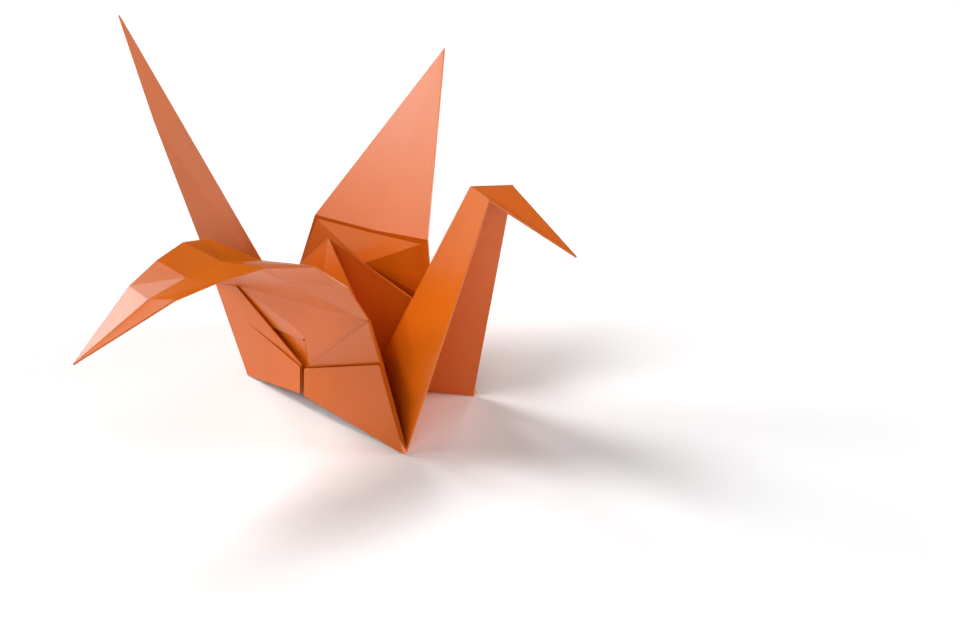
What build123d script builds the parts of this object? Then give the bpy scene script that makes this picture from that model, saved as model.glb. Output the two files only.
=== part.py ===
from build123d import *
import os

os.makedirs("parts", exist_ok=True)

# An opened-up origami crane, folded from one square of stiff paper, in millimetres.
# The head points along +X, the drooping wing along -Y, and the crane stands on its four feet.
# Points lie on the middle of the paper: reach runs along X, spread along Y, height along Z.

# Paper and folds
paper = 0.30
layer_gap = 0.15
fold_bead = 0.20
slit_width = 1.1
strip_gap = 0.4

# Feet: the four bottom corners of the body
foot_reach = 20.3
foot_spread = 11.25
far_tail_foot_reach = 24.2
far_tail_foot_spread = 8.3

# Peak of the inflated back
peak_shift = -5.4
peak_height = 31.6

# Knees: where the top edge of each outer flap meets the fold at its end of the body
knee_reach = 13.9
knee_spread = 9.4
knee_height = 16.6
tail_knee_reach = 21.7
tail_knee_spread = 9.5
tail_knee_height = 12.45

# Slit in the middle of each side, between the front and rear flaps
slit_shift = -3.3
slit_spread = 12.1
slit_top_height = 9.65
slit_foot_spread = 12.85
slit_foot_height = 4.0
hinge_spread = 11.2
hinge_height = 4.6

# Shoulders: where each inner flap ends, at the root of the wing
shoulder_reach = 16.2
shoulder_spread = 13.9
shoulder_height = 29.2
tail_shoulder_reach = 23.2
tail_shoulder_spread = 8.5
tail_shoulder_height = 18.7
far_shoulder_reach = 12.1
far_shoulder_spread = 9.6
far_shoulder_height = 19.5
far_tail_shoulder_reach = 23.7
far_tail_shoulder_spread = 8.9
far_tail_shoulder_height = 14.1

# Neck and head
neck_root_reach = 2.1
root_height = 0.6
nape_reach = 27.8
nape_height = 52.4
throat_reach = 33.7
throat_spread = 3.15
throat_height = 53.15
beak_reach = 47.9
beak_height = 46.55

# Tail
tail_root_reach = 11.2
tail_tip_reach = 56.85
tail_tip_height = 63.55
tail_bow_reach = 47.5
tail_bow_spread = 3.2
far_tail_bow_spread = 1.6
tail_bow_height = 45.35
hip_reach = 30.1
hip_spread = 7.95
hip_height = 16.55
far_hip_reach = 30.5
far_hip_spread = 5.05
far_hip_height = 13.5

# Pocket pressed into the near side, behind the rear inner flap
pocket_fold_shift = -4.1
pocket_fold_spread = 11.5
pocket_fold_height = 18.3
pocket_corner_shift = -1.6
pocket_corner_spread = 11.9
pocket_corner_height = 17.4
pocket_lip_shift = -2.8
pocket_lip_spread = 11.5
pocket_lip_height = 16.3
pocket_depth_shift = -13.9
pocket_depth_spread = 9.2
pocket_depth_height = 13.35
pocket_lip_step = 0.45

# Near wing: spread of each bend, then the reach and height of its rear edge, crease and front edge
wing_bend_1_spread = 15.9
wing_rear_1_reach = 15.5
wing_rear_1_height = 31.7
wing_crease_1_reach = -1.25
wing_crease_1_height = 32.2
wing_front_1_reach = 14.1
wing_front_1_height = 36.4
wing_bend_2_spread = 20.15
wing_rear_2_reach = 14.5
wing_rear_2_height = 37.7
wing_crease_2_reach = -1.2
wing_crease_2_height = 38.05
wing_front_2_reach = 11.15
wing_front_2_height = 41.45
wing_bend_3_spread = 27.35
wing_rear_3_reach = 11.9
wing_rear_3_height = 41.3
wing_crease_3_reach = -2.6
wing_crease_3_height = 40.85
wing_front_3_reach = 7.4
wing_front_3_height = 43.35
wing_bend_4_spread = 33.95
wing_rear_4_reach = 10.5
wing_rear_4_height = 41.55
wing_crease_4_reach = -3.65
wing_crease_4_height = 40.75
wing_front_4_reach = 3.6
wing_front_4_height = 42.5
wing_bend_5_spread = 40.4
wing_rear_5_reach = 9.75
wing_rear_5_height = 40.2
wing_crease_5_reach = -5.3
wing_crease_5_height = 39.35
wing_front_5_reach = 1.55
wing_front_5_height = 41.95
wing_tip_reach = -5.2
wing_tip_spread = 55.35
wing_tip_height = 35.75

# Far wing: it stands up from two close bends above the facets of its root
far_bend_spread = 9.0
far_rear_reach = 17.6
far_rear_height = 28.8
far_crease_reach = -1.9
far_crease_height = 30.5
far_front_reach = 11.0
far_front_height = 32.8
far_band_spread = 9.1
far_band_rear_reach = 17.35
far_band_rear_height = 27.9
far_dart_reach = -3.6
far_dart_height = 29.5
far_band_front_reach = 9.4
far_band_front_height = 31.3
far_valley_reach = -2.9
far_valley_spread = 6.35
far_valley_height = 24.1
far_arm_reach = 11.45
far_arm_height = 23.65
far_tip_reach = -0.5
far_tip_spread = 29.7
far_tip_height = 60.45

layer_pitch = paper + layer_gap
half_slit = slit_width / 2


def toward(start, end, distance):
    """The point at a distance from start on the way to end."""
    return start + (end - start).normalized() * distance


def layer(point, side, count):
    """The point moved in from the outer layer by a count of layers; side is -1 near and 1 far."""
    return point - Vector(0, side * layer_pitch * count, 0)


def sides(facet):
    """The three directed sides of a facet."""
    return list(zip(facet, facet[1:] + facet[:1]))


def facing(facet):
    """The direction that a facet faces."""
    return (facet[1] - facet[0]).cross(facet[2] - facet[0]).normalized()


def fan(hub, *rim):
    """Facets from one hub to each stretch of a rim."""
    return [[hub, start, end] for start, end in zip(rim, rim[1:])]


def leaf(*facets):
    """One leaf of folded paper: facets joined at their folds, mitred there and capped at the rim."""
    turned = []
    for facet in facets:
        taken = [side for other in turned for side in sides(other)]
        if any(side in taken for side in sides(facet)):
            facet = facet[::-1]
        turned.append(facet)
    lift = {}
    for corner in {corner for facet in turned for corner in facet}:
        normals = [facing(facet) for facet in turned if corner in facet]
        middle = sum(normals, Vector(0, 0, 0)).normalized()
        spread = sum(middle.dot(normal) for normal in normals) / len(normals)
        lift[corner] = middle * (paper / 2 / spread)
    skin = [[corner + lift[corner] for corner in facet] for facet in turned]
    skin += [[corner - lift[corner] for corner in facet[::-1]] for facet in turned]
    taken = [side for facet in turned for side in sides(facet)]
    for start, end in taken:
        if (end, start) not in taken:
            skin.append([start + lift[start], start - lift[start], end + lift[end]])
            skin.append([end + lift[end], start - lift[start], end - lift[end]])
    with BuildPart() as sheet:
        add(Solid(Shell([Face(Wire.make_polygon(corners)) for corners in skin])))
    pieces.append(sheet.part.solid())


def fold(start, end):
    """A six-sided bead of folded paper along the line where two leaves meet."""
    with BuildPart() as bead:
        with BuildSketch(Plane(origin=start, z_dir=end - start)):
            RegularPolygon(radius=fold_bead, side_count=6)
        extrude(amount=(end - start).length)
    pieces.append(bead.part.solid())


def side_flaps(side, foot, knee, shoulder, hip=None):
    """The outer and inner flap on one end of one side; beside a hip they part at the knee."""
    outer_top = toward(slit_top[side], knee, half_slit)
    outer_foot = toward(slit_foot[side], foot, half_slit)
    inner_top = layer(outer_top, side, 1)
    inner_foot = layer(outer_foot, side, 1)
    inner_knee = layer(knee, side, 1)
    inner_heel = layer(foot, side, 1)
    deep_knee = layer(knee, side, 2)
    deep_foot = layer(foot, side, 2)
    deep_shoulder = layer(shoulder, side, 1)
    if hip is None:
        leaf(*fan(knee, outer_top, outer_foot, foot, deep_foot, deep_knee))
        leaf(
            *fan(inner_knee, inner_heel, inner_foot, inner_top, shoulder, deep_shoulder, deep_knee)
        )
    else:
        strip_low = inner_top + Vector(0, 0, strip_gap)
        leaf(*fan(knee, outer_top, outer_foot, foot, hip, shoulder, strip_low))
        leaf(*fan(knee, foot, deep_foot, deep_knee))
        leaf(*fan(inner_knee, inner_heel, inner_foot, strip_low))
    fold(deep_knee, deep_foot)
    fold(deep_knee, deep_shoulder)


pieces = []

slit_top = {
    -1: Vector(slit_shift, -slit_spread, slit_top_height),
    1: Vector(slit_shift, slit_spread, slit_top_height),
}
slit_foot = {
    -1: Vector(slit_shift, -slit_foot_spread, slit_foot_height),
    1: Vector(slit_shift, slit_foot_spread, slit_foot_height),
}
peak = Vector(peak_shift, 0, peak_height)
neck_root = Vector(neck_root_reach, 0, root_height)
tail_root = Vector(-tail_root_reach, 0, root_height)

near_foot = Vector(foot_reach, -foot_spread, 0)
far_foot = Vector(foot_reach, foot_spread, 0)
near_tail_foot = Vector(-foot_reach, -foot_spread, 0)
far_tail_foot = Vector(-far_tail_foot_reach, far_tail_foot_spread, 0)
near_knee = Vector(knee_reach, -knee_spread, knee_height)
far_knee = Vector(knee_reach, knee_spread, knee_height)
near_tail_knee = Vector(-tail_knee_reach, -tail_knee_spread, tail_knee_height)
far_tail_knee = Vector(-tail_knee_reach, tail_knee_spread, tail_knee_height)
near_shoulder = Vector(shoulder_reach, -shoulder_spread, shoulder_height)
near_tail_shoulder = Vector(-tail_shoulder_reach, -tail_shoulder_spread, tail_shoulder_height)
far_shoulder = Vector(far_shoulder_reach, far_shoulder_spread, far_shoulder_height)
far_tail_shoulder = Vector(
    -far_tail_shoulder_reach, far_tail_shoulder_spread, far_tail_shoulder_height
)
near_hip = Vector(-hip_reach, -hip_spread, hip_height)
far_hip = Vector(-far_hip_reach, far_hip_spread, far_hip_height)

# Side walls: outer and inner flaps, open at the slit
side_flaps(-1, near_foot, near_knee, near_shoulder)
side_flaps(-1, near_tail_foot, near_tail_knee, near_tail_shoulder, near_hip)
side_flaps(1, far_foot, far_knee, far_shoulder)
side_flaps(1, far_tail_foot, far_tail_knee, far_tail_shoulder, far_hip)

# Inflated back: its near and far faces, and the gussets tucked in at each end
deep_near_knee = layer(near_knee, -1, 2)
deep_far_knee = layer(far_knee, 1, 2)
deep_near_tail_knee = layer(near_tail_knee, -1, 2)
deep_far_tail_knee = layer(far_tail_knee, 1, 2)
deep_near_foot = layer(near_foot, -1, 2)
deep_far_foot = layer(far_foot, 1, 2)
near_hinge = Vector(slit_shift, -hinge_spread, hinge_height)
far_hinge = Vector(slit_shift, hinge_spread, hinge_height)
leaf(*fan(peak, deep_near_knee, near_hinge, deep_near_tail_knee))
leaf(*fan(peak, deep_far_knee, far_hinge, deep_far_tail_knee))
leaf(*fan(neck_root, deep_near_foot, deep_near_knee, peak, deep_far_knee, deep_far_foot))
leaf(
    *fan(
        tail_root,
        layer(near_tail_foot, -1, 2),
        deep_near_tail_knee,
        peak,
        deep_far_tail_knee,
        layer(far_tail_foot, 1, 2),
    )
)
for knee, hinge in (
    (deep_near_knee, near_hinge),
    (deep_near_tail_knee, near_hinge),
    (deep_far_knee, far_hinge),
    (deep_far_tail_knee, far_hinge),
):
    fold(peak, knee)
    fold(knee, hinge)

# Neck and head: two halves that meet at the nape, and a beak folded in between them
nape = Vector(nape_reach, 0, nape_height)
beak = Vector(beak_reach, 0, beak_height)
near_throat = Vector(throat_reach, -throat_spread, throat_height)
far_throat = Vector(throat_reach, throat_spread, throat_height)
leaf(*fan(neck_root, deep_near_foot, near_throat, nape, far_throat, deep_far_foot))
leaf(*fan(nape, near_throat, beak, far_throat))
fold(neck_root, deep_near_foot)
fold(neck_root, deep_far_foot)
fold(nape, near_throat)
fold(nape, far_throat)

# Tail: two halves that meet at the spine and open to the rear
tail_tip = Vector(-tail_tip_reach, 0, tail_tip_height)
near_bow = Vector(-tail_bow_reach, -tail_bow_spread, tail_bow_height)
far_bow = Vector(-tail_bow_reach, far_tail_bow_spread, tail_bow_height)
leaf(
    *fan(
        tail_root,
        near_tail_foot,
        near_hip,
        near_bow,
        tail_tip,
        far_bow,
        far_hip,
        far_tail_foot,
    )
)
fold(tail_root, near_tail_foot)
fold(tail_root, far_tail_foot)
fold(near_hip, near_tail_foot)
fold(far_hip, far_tail_foot)

# Near side above the flaps: the wing's root panel and the pocket pressed in beside it
root_front = layer(near_shoulder, -1, 1)
root_rear = layer(near_tail_shoulder, -1, 1)
root_low = layer(toward(slit_top[-1], near_knee, slit_width), -1, 2)
pocket_fold = Vector(pocket_fold_shift, -pocket_fold_spread, pocket_fold_height)
pocket_corner = Vector(pocket_corner_shift, -pocket_corner_spread, pocket_corner_height)
pocket_lip = Vector(pocket_lip_shift, -pocket_lip_spread, pocket_lip_height)
pocket_depth = Vector(pocket_depth_shift, -pocket_depth_spread, pocket_depth_height)
pocket_low = layer(toward(slit_top[-1], near_tail_knee, half_slit), -1, 4)
lip_step = Vector(0, pocket_lip_step, -pocket_lip_step)

# Near wing: it rises from the root, passes a crest and droops to its tip
wing_rear = [
    Vector(-wing_rear_1_reach, -wing_bend_1_spread, wing_rear_1_height),
    Vector(-wing_rear_2_reach, -wing_bend_2_spread, wing_rear_2_height),
    Vector(-wing_rear_3_reach, -wing_bend_3_spread, wing_rear_3_height),
    Vector(-wing_rear_4_reach, -wing_bend_4_spread, wing_rear_4_height),
    Vector(-wing_rear_5_reach, -wing_bend_5_spread, wing_rear_5_height),
]
wing_crease = [
    Vector(wing_crease_1_reach, -wing_bend_1_spread, wing_crease_1_height),
    Vector(wing_crease_2_reach, -wing_bend_2_spread, wing_crease_2_height),
    Vector(wing_crease_3_reach, -wing_bend_3_spread, wing_crease_3_height),
    Vector(wing_crease_4_reach, -wing_bend_4_spread, wing_crease_4_height),
    Vector(wing_crease_5_reach, -wing_bend_5_spread, wing_crease_5_height),
]
wing_front = [
    Vector(wing_front_1_reach, -wing_bend_1_spread, wing_front_1_height),
    Vector(wing_front_2_reach, -wing_bend_2_spread, wing_front_2_height),
    Vector(wing_front_3_reach, -wing_bend_3_spread, wing_front_3_height),
    Vector(wing_front_4_reach, -wing_bend_4_spread, wing_front_4_height),
    Vector(wing_front_5_reach, -wing_bend_5_spread, wing_front_5_height),
]
wing_tip = Vector(wing_tip_reach, -wing_tip_spread, wing_tip_height)
wing = [[near_hip, root_rear, wing_rear[0]]]
wing += fan(wing_crease[0], wing_rear[0], root_rear, root_front, wing_front[0])
for bend in range(3):
    wing += fan(wing_crease[bend + 1], wing_crease[bend], wing_rear[bend], wing_rear[bend + 1])
wing += fan(wing_crease[3], wing_rear[3], wing_rear[4], wing_crease[4])
for bend in range(4):
    wing += fan(wing_crease[bend + 1], wing_crease[bend], wing_front[bend], wing_front[bend + 1])
wing += fan(wing_tip, wing_rear[4], wing_crease[4], wing_front[4])
leaf(
    *wing,
    *fan(root_front, root_rear, pocket_fold, pocket_corner, root_low, deep_near_knee),
    *fan(pocket_lip, pocket_corner, pocket_fold, root_rear, pocket_depth),
    [root_rear, pocket_depth, deep_near_tail_knee],
    *fan(pocket_low, root_low, pocket_corner, pocket_lip + lip_step, pocket_depth + lip_step),
    *fan(near_hinge, deep_near_knee, root_low, pocket_low, pocket_depth + lip_step),
    [near_hinge, pocket_depth + lip_step, layer(near_tail_knee, -1, 1)],
)
fold(near_tail_shoulder, root_rear)
fold(near_tail_shoulder, near_hip)

# Far wing: its root facets meet in a valley behind the back, and the wing stands above them
far_rear = Vector(-far_rear_reach, far_bend_spread, far_rear_height)
far_crease = Vector(far_crease_reach, far_bend_spread, far_crease_height)
far_front = Vector(far_front_reach, far_bend_spread, far_front_height)
far_band_rear = Vector(-far_band_rear_reach, far_band_spread, far_band_rear_height)
far_dart = Vector(far_dart_reach, far_band_spread, far_dart_height)
far_band_front = Vector(far_band_front_reach, far_band_spread, far_band_front_height)
far_valley = Vector(far_valley_reach, far_valley_spread, far_valley_height)
far_arm = Vector(far_arm_reach, far_bend_spread, far_arm_height)
far_tip = Vector(far_tip_reach, far_tip_spread, far_tip_height)
far_root_front = layer(far_shoulder, 1, 1)
far_root_rear = layer(far_tail_shoulder, 1, 1)
leaf(
    *fan(far_valley, far_root_rear, far_band_rear, far_dart, far_band_front, far_arm),
    *fan(far_valley, far_arm, far_root_front, far_hinge, far_root_rear),
    [far_hinge, far_root_front, deep_far_knee],
    [far_hinge, far_root_rear, deep_far_tail_knee],
    *fan(far_band_rear, far_root_rear, far_rear, far_dart),
    *fan(far_band_front, far_dart, far_crease, far_front, far_arm),
    *fan(far_crease, far_dart, far_rear, far_tip, far_front),
)
fold(far_tail_shoulder, far_root_rear)

with BuildPart() as folded_crane:
    for piece in pieces:
        add(piece)

# The crane stands on the origin, below the middle of its box
box = folded_crane.part.bounding_box()
standing = Pos(-box.center().X, -box.center().Y, -box.min.Z) * folded_crane.part
standing.label = "folded_crane"
export_step(standing, "parts/folded_crane.step")
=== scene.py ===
from math import cos, radians, sin

import bmesh
import bpy
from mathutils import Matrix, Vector


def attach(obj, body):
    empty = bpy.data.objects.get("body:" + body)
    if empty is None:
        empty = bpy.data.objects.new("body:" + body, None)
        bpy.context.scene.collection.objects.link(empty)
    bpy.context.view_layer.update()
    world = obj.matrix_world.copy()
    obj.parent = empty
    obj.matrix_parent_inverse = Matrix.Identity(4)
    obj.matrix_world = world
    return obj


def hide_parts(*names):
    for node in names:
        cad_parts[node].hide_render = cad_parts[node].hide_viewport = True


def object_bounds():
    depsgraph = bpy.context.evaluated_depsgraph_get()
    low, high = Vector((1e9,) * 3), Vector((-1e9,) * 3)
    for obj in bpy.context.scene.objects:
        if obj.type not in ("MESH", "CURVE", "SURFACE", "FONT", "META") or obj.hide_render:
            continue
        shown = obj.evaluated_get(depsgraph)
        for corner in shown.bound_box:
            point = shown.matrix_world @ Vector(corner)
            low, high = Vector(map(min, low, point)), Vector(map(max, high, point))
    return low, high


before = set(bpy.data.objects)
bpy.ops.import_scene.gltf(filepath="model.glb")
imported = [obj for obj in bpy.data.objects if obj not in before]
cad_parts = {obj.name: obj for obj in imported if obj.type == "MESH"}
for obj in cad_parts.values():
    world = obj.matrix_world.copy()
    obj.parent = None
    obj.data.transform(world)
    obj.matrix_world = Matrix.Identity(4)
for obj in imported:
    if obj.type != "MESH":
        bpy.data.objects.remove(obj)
cad_box = [list(corner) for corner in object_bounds()]

# Camera
# It stands diagonally before the head, on the side of the drooping wing, and looks down on the
# crane. Its place and turn give the same corners of the folds as the photograph.
camera_place = Vector((0.12473, -0.11067, 0.13229))
camera_turn = radians(36.30)
camera_dip = radians(34.12)
level_tilt = radians(90)
focal_length_pixels = 1077.4
image_width_pixels = 960
nearest_seen = 0.005
camera = bpy.data.objects.new("camera", bpy.data.cameras.new("camera"))
bpy.context.scene.collection.objects.link(camera)
camera.location = camera_place
camera.rotation_euler = (level_tilt - camera_dip, 0, camera_turn)
camera.data.lens = camera.data.sensor_width * focal_length_pixels / image_width_pixels
camera.data.clip_start = nearest_seen
bpy.context.scene.camera = camera
bpy.context.scene.view_settings.view_transform = "Standard"

# Folded sheet
# One square of stiff orange paper, dyed right through and pressed smooth, so it has a soft sheen.
# Every flap, the neck, the tail and both wings are folds of this one sheet. Its dye is a little
# uneven, its fibres show from close by, and the folds and the cut edges are rubbed slightly paler.
paper = bpy.data.materials.new("orange_paper")
paper.use_nodes = True
paper_nodes = paper.node_tree.nodes
paper_links = paper.node_tree.links
paper_shader = paper_nodes["Principled BSDF"]
place_on_sheet = paper_nodes.new("ShaderNodeTexCoord")


def paper_noise(scale, detail, distortion=0.0):
    """A noise on the paper; the scale is in cycles a metre."""
    noise = paper_nodes.new("ShaderNodeTexNoise")
    noise.inputs["Scale"].default_value = scale
    noise.inputs["Detail"].default_value = detail
    noise.inputs["Distortion"].default_value = distortion
    paper_links.new(place_on_sheet.outputs["Object"], noise.inputs["Vector"])
    return noise.outputs["Fac"]


def spread(value, low, high, to_low, to_high):
    """Maps a value between two limits onto two others."""
    ramp = paper_nodes.new("ShaderNodeMapRange")
    ramp.inputs["From Min"].default_value = low
    ramp.inputs["From Max"].default_value = high
    ramp.inputs["To Min"].default_value = to_low
    ramp.inputs["To Max"].default_value = to_high
    paper_links.new(value, ramp.inputs["Value"])
    return ramp.outputs["Result"]


def blend_colours(factor, first, second):
    """Mixes two colours; each is a socket or a plain colour."""
    mix = paper_nodes.new("ShaderNodeMix")
    mix.data_type = "RGBA"
    paper_links.new(factor, mix.inputs["Factor"])
    for socket, colour in ((mix.inputs["A"], first), (mix.inputs["B"], second)):
        if isinstance(colour, tuple):
            socket.default_value = (*colour, 1)
        else:
            paper_links.new(colour, socket)
    return mix.outputs["Result"]


# Dye, in soft clouds about a centimetre wide
deep_dye = (0.620, 0.119, 0.0028)
light_dye = (0.660, 0.131, 0.0034)
cloud_low = 0.2
cloud_high = 0.8
cloud = paper_noise(scale=70, detail=3)
dye = blend_colours(spread(cloud, cloud_low, cloud_high, 0.0, 1.0), deep_dye, light_dye)

# Fibres, well under a millimetre wide and a touch paler than the dye
fibre_colour = (0.66, 0.17, 0.012)
fibre_low = 0.3
fibre_high = 0.8
fibre_share = 0.10
fibre = paper_noise(scale=2600, detail=5, distortion=0.6)
dye_and_fibre = blend_colours(spread(fibre, fibre_low, fibre_high, 0.0, fibre_share), dye, fibre_colour)

# Folds and cut edges, found where a rounded surface would turn away from the flat one
fold_radius = 0.00016
fold_samples = 6
unworn_likeness = 0.99
worn_likeness = 0.80
worn_share = 0.35
worn_colour = (0.72, 0.24, 0.03)
rounded = paper_nodes.new("ShaderNodeBevel")
rounded.samples = fold_samples
rounded.inputs["Radius"].default_value = fold_radius
flat = paper_nodes.new("ShaderNodeNewGeometry")
likeness = paper_nodes.new("ShaderNodeVectorMath")
likeness.operation = "DOT_PRODUCT"
paper_links.new(rounded.outputs["Normal"], likeness.inputs[0])
paper_links.new(flat.outputs["Normal"], likeness.inputs[1])
worn = spread(likeness.outputs["Value"], unworn_likeness, worn_likeness, 0.0, worn_share)
paper_colour = blend_colours(worn, dye_and_fibre, worn_colour)
paper_links.new(paper_colour, paper_shader.inputs["Base Color"])

# Sheen, a little uneven like the dye, over the fine grain of the fibres
least_roughness = 0.27
most_roughness = 0.31
grain_strength = 0.08
grain_height = 0.00002
roughness = spread(cloud, cloud_low, cloud_high, least_roughness, most_roughness)
paper_links.new(roughness, paper_shader.inputs["Roughness"])
grain = paper_nodes.new("ShaderNodeBump")
grain.inputs["Strength"].default_value = grain_strength
grain.inputs["Distance"].default_value = grain_height
paper_links.new(fibre, grain.inputs["Height"])
paper_links.new(rounded.outputs["Normal"], grain.inputs["Normal"])
paper_links.new(grain.outputs["Normal"], paper_shader.inputs["Normal"])

cad_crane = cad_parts["folded_crane"]
merge_distance = 0.0000001
sheet = bmesh.new()
sheet.from_mesh(cad_crane.data)
bmesh.ops.remove_doubles(sheet, verts=sheet.verts, dist=merge_distance)

# The tip of the drooping wing hangs lower than in the solid: it lies further along the camera's
# line of sight, so that its last facet turns up to the light behind the tail.
tip_droop = 0.0040
tip_width = 0.0006
tip_corners = [corner for corner in sheet.verts if corner.co.y < cad_box[0][1] + tip_width]
line_of_sight = (tip_corners[0].co - camera_place).normalized()
bmesh.ops.translate(sheet, verts=tip_corners, vec=line_of_sight * tip_droop)
crane_mesh = bpy.data.meshes.new("paper_crane")
sheet.to_mesh(crane_mesh)
sheet.free()
crane_mesh.materials.append(paper)
crane = bpy.data.objects.new("paper_crane", crane_mesh)
bpy.context.scene.collection.objects.link(crane)
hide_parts("folded_crane")
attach(crane, "root")

# Floor
# A plain matt white table top that keeps the crane's soft shadows.
# Past its edge the white walls show.
floor_side = 1.4
floor_white = (0.97, 0.97, 0.97, 1)
bpy.ops.mesh.primitive_plane_add(size=floor_side, location=(0, 0, 0))
floor = bpy.context.object
floor.name = "floor"
floor_paint = bpy.data.materials.new("white_floor")
floor_paint.use_nodes = True
floor_shader = floor_paint.node_tree.nodes["Principled BSDF"]
floor_shader.inputs["Base Color"].default_value = floor_white
floor_shader.inputs["Roughness"].default_value = 1.0
floor_shader.inputs["Specular IOR Level"].default_value = 0.0
floor.data.materials.append(floor_paint)

# Lights
# Round soft boxes that face the crane. The high and the low ones behind the tail throw its long
# shadows and shine on the raised wing, and the others fill the near, far and head sides.
box_distance = 2.5


def soft_box(name, azimuth, height, width, power):
    """A round area lamp; the angles are in degrees, turned from +X and lifted from the floor."""
    lamp = bpy.data.objects.new(name, bpy.data.lights.new(name, "AREA"))
    bpy.context.scene.collection.objects.link(lamp)
    lamp.data.shape = "DISK"
    lamp.data.size = width
    lamp.data.energy = power
    lamp.visible_camera = False
    turn = radians(azimuth)
    lift = radians(height)
    away = Vector((cos(lift) * cos(turn), cos(lift) * sin(turn), sin(lift)))
    lamp.location = away * box_distance
    lamp.rotation_euler = away.to_track_quat("Z", "Y").to_euler()


soft_box("high_tail_light", azimuth=-154, height=55, width=0.75, power=32.0)
soft_box("high_far_light", azimuth=170, height=60, width=0.50, power=8.0)
soft_box("low_tail_light", azimuth=-140, height=33, width=0.50, power=9.0)
soft_box("low_wing_light", azimuth=-162, height=22, width=0.80, power=20.0)
soft_box("near_fill", azimuth=-60, height=35, width=2.00, power=21.0)
soft_box("far_fill", azimuth=100, height=23, width=1.20, power=14.0)
soft_box("head_fill", azimuth=15, height=25, width=1.50, power=6.0)
soft_box("low_far_light", azimuth=35, height=9, width=0.70, power=45.0)

# Flag
# A black card beyond the tail, on the side of the raised wing. Only the paper's sheen sees it: it
# keeps the white floor out of the top of the drooping wing, which stays a deep orange.
flag_place = Vector((-0.090, 0.066, 0.045))
flag_side = 0.115
flag_upright = radians(90)
flag_turn = radians(44)
bpy.ops.mesh.primitive_plane_add(
    size=flag_side, location=flag_place, rotation=(flag_upright, 0, flag_turn)
)
flag = bpy.context.object
flag.name = "flag"
flag_paint = bpy.data.materials.new("black_flag")
flag_paint.use_nodes = True
flag_shader = flag_paint.node_tree.nodes["Principled BSDF"]
flag_shader.inputs["Base Color"].default_value = (0, 0, 0, 1)
flag_shader.inputs["Specular IOR Level"].default_value = 0.0
flag.data.materials.append(flag_paint)
flag.visible_camera = False
flag.visible_diffuse = False
flag.visible_transmission = False
flag.visible_shadow = False

# Walls
# White studio walls below a dark ceiling. They show behind the crane and in its sheen, and add no
# other light to it.
wall_top = radians(12)
ceiling_edge = radians(40)
wall_strength = 1.0
ceiling_strength = 0.03
world = bpy.data.worlds.new("studio")
bpy.context.scene.world = world
world.use_nodes = True
world_nodes = world.node_tree.nodes
world_links = world.node_tree.links
background = world_nodes["Background"]
background.inputs["Color"].default_value = (1, 1, 1, 1)
direction = world_nodes.new("ShaderNodeTexCoord")
direction_parts = world_nodes.new("ShaderNodeSeparateXYZ")
world_links.new(direction.outputs["Generated"], direction_parts.inputs["Vector"])
wall = world_nodes.new("ShaderNodeMapRange")
wall.interpolation_type = "SMOOTHSTEP"
wall.inputs["From Min"].default_value = sin(wall_top)
wall.inputs["From Max"].default_value = sin(ceiling_edge)
wall.inputs["To Min"].default_value = wall_strength
wall.inputs["To Max"].default_value = ceiling_strength
world_links.new(direction_parts.outputs["Z"], wall.inputs["Value"])


def reckon(operation, first, second):
    """One calculation on two values of the world's light."""
    step = world_nodes.new("ShaderNodeMath")
    step.operation = operation
    world_links.new(first, step.inputs[0])
    world_links.new(second, step.inputs[1])
    return step.outputs["Value"]


ray = world_nodes.new("ShaderNodeLightPath")
in_sheen = reckon("MULTIPLY", wall.outputs["Result"], ray.outputs["Is Glossy Ray"])
seen_or_through = reckon("MAXIMUM", ray.outputs["Is Camera Ray"], ray.outputs["Is Transmission Ray"])
world_links.new(reckon("MAXIMUM", in_sheen, seen_or_through), background.inputs["Strength"])
